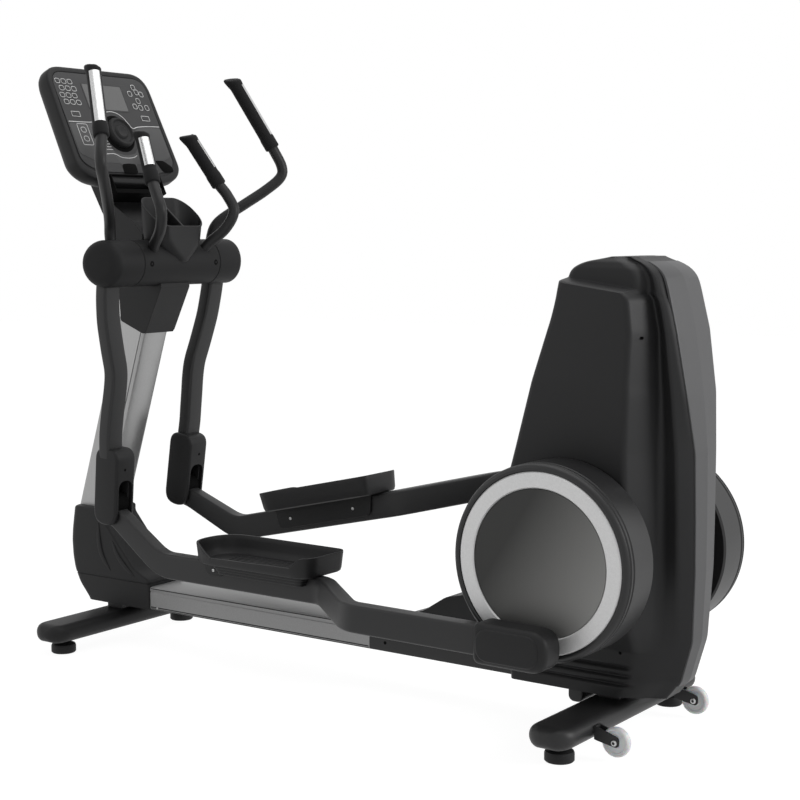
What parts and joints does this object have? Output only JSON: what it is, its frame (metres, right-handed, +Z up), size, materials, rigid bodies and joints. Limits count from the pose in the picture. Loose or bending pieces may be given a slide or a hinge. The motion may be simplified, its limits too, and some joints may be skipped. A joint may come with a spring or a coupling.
{
  "type": "elliptical trainer",
  "caption": "Free-standing rear-drive elliptical trainer with swinging arms, fixed handles, pedal levers, covered crank tower and console.",
  "frame": {"origin": "centre of the machine's footprint box, on the floor", "axes": "+X to the rear (drive tower), +Y to the user's right, +Z up"},
  "size_m": [2.0842, 0.84, 1.7136],
  "materials": {
    "painted_frame": "satin dark grey paint",
    "bright_rail": "satin silver",
    "mast_silver": "satin silver with two grooves",
    "cover_plastic": "fine matte, near black",
    "strip_plastic": "matte mid grey",
    "foam_grip": "soft foam grip",
    "foot_rubber": "moulded rubber",
    "roller_plastic": "pale translucent plastic",
    "console_panel": "printed grey panel",
    "display": "unlit display window",
    "disc_panel": "dark brushed metal look on a moulded dish",
    "ring_silver": "silver plated moulding",
    "steel_parts": "machined steel",
    "pulley_alloy": "cast alloy",
    "belt_rubber": "ribbed belt"
  },
  "bodies": {
    "frame": {"base_beam": "painted_frame", "rail_cover": "bright_rail", "front_foot": "painted_frame", "rear_foot": "painted_frame", "wheel_fork_left": "painted_frame", "wheel_fork_right": "painted_frame", "mast": "mast_silver", "front_shroud": "cover_plastic", "mast_collar": "cover_plastic", "pivot_housing": "cover_plastic", "pivot_axle": "steel_parts", "console_neck": "cover_plastic", "cup_holder": "cover_plastic", "fixed_handle_left": "painted_frame", "fixed_grip_left": "foam_grip", "fixed_handle_right": "painted_frame", "fixed_grip_right": "foam_grip", "console_back": "cover_plastic", "console_face": "console_panel", "console_screen": "display", "accessory_tray": "cover_plastic", "drive_frame": "painted_frame", "drive_belt": "belt_rubber", "front_fairing": "cover_plastic", "tower_shell_left": "cover_plastic", "tower_shell_right": "cover_plastic", "tower_rear_strip": "strip_plastic"},
    "dial": {"console_dial": "foam_grip"},
    "crank": {"crankshaft": "steel_parts", "drive_pulley": "pulley_alloy", "crank_disc_left": "disc_panel", "crank_disc_right": "disc_panel", "disc_ring_left": "ring_silver", "disc_ring_right": "ring_silver"},
    "flywheel": {"flywheel": "steel_parts"},
    "wheel_left": {"transport_wheel_left": "roller_plastic"},
    "wheel_right": {"transport_wheel_right": "roller_plastic"},
    "arm_left": {"hub_cover_left": "cover_plastic", "swing_arm_left": "painted_frame", "moving_handle_left": "painted_frame", "moving_grip_left": "foam_grip", "pivot_cover_left": "cover_plastic", "lower_pin_left": "steel_parts"},
    "lever_left": {"pedal_lever_left": "painted_frame", "lever_end_cap_left": "cover_plastic", "pedal_left": "cover_plastic"},
    "pad_front_left": {"levelling_foot_front_left": "foot_rubber"},
    "pad_rear_left": {"levelling_foot_rear_left": "foot_rubber"},
    "arm_right": {"hub_cover_right": "cover_plastic", "swing_arm_right": "painted_frame", "moving_handle_right": "painted_frame", "moving_grip_right": "foam_grip", "pivot_cover_right": "cover_plastic", "lower_pin_right": "steel_parts"},
    "lever_right": {"pedal_lever_right": "painted_frame", "lever_end_cap_right": "cover_plastic", "pedal_right": "cover_plastic"},
    "pad_front_right": {"levelling_foot_front_right": "foot_rubber"},
    "pad_rear_right": {"levelling_foot_rear_right": "foot_rubber"}
  },
  "joints": [
    {"name": "arm_swing_left", "type": "hinge", "parent": "frame", "child": "arm_left", "pos_m": [-0.68906, 0, 1.1425], "axis": [0, 1, 0], "range_deg": [-16, 16]},
    {"name": "arm_swing_right", "type": "hinge", "parent": "frame", "child": "arm_right", "pos_m": [-0.68906, 0, 1.1425], "axis": [0, 1, 0], "range_deg": [-16, 16]},
    {"name": "lever_pitch_left", "type": "hinge", "parent": "arm_left", "child": "lever_left", "pos_m": [-0.73708, -0.178, 0.44716], "axis": [0, 1, 0], "range_deg": [-16, 16]},
    {"name": "lever_pitch_right", "type": "hinge", "parent": "arm_right", "child": "lever_right", "pos_m": [-0.78791, 0.178, 0.45254], "axis": [0, 1, 0], "range_deg": [-16, 16]},
    {"name": "crank_spin", "type": "hinge", "parent": "frame", "child": "crank", "pos_m": [0.76694, 0, 0.455], "axis": [0, 1, 0], "continuous": true},
    {"name": "flywheel_spin", "type": "hinge", "parent": "frame", "child": "flywheel", "pos_m": [0.83294, 0, 0.9], "axis": [0, 1, 0], "continuous": true},
    {"name": "dial_turn", "type": "hinge", "parent": "frame", "child": "dial", "pos_m": [-0.87706, 0, 1.521], "axis": [0.8988, 0, 0.4384], "continuous": true},
    {"name": "wheel_spin_left", "type": "hinge", "parent": "frame", "child": "wheel_left", "pos_m": [0.92094, -0.213, 0.046], "axis": [0, 1, 0], "continuous": true},
    {"name": "wheel_spin_right", "type": "hinge", "parent": "frame", "child": "wheel_right", "pos_m": [0.92094, 0.213, 0.046], "axis": [0, 1, 0], "continuous": true},
    {"name": "pad_turn_front_left", "type": "hinge", "parent": "frame", "child": "pad_front_left", "pos_m": [-0.88706, -0.254, 0.014], "axis": [0, 0, 1], "continuous": true},
    {"name": "pad_turn_front_right", "type": "hinge", "parent": "frame", "child": "pad_front_right", "pos_m": [-0.88706, 0.254, 0.014], "axis": [0, 0, 1], "continuous": true},
    {"name": "pad_turn_rear_left", "type": "hinge", "parent": "frame", "child": "pad_rear_left", "pos_m": [0.80994, -0.287, 0.014], "axis": [0, 0, 1], "continuous": true},
    {"name": "pad_turn_rear_right", "type": "hinge", "parent": "frame", "child": "pad_rear_right", "pos_m": [0.80994, 0.287, 0.014], "axis": [0, 0, 1], "continuous": true}
  ],
  "couplings": [
    {"joint": "arm_swing_right", "follows": "arm_swing_left", "ratio": -1},
    {"joint": "lever_pitch_left", "follows": "arm_swing_left", "ratio": -1},
    {"joint": "lever_pitch_right", "follows": "arm_swing_left", "ratio": 1},
    {"joint": "flywheel_spin", "follows": "crank_spin", "ratio": 4.2857}
  ]
}
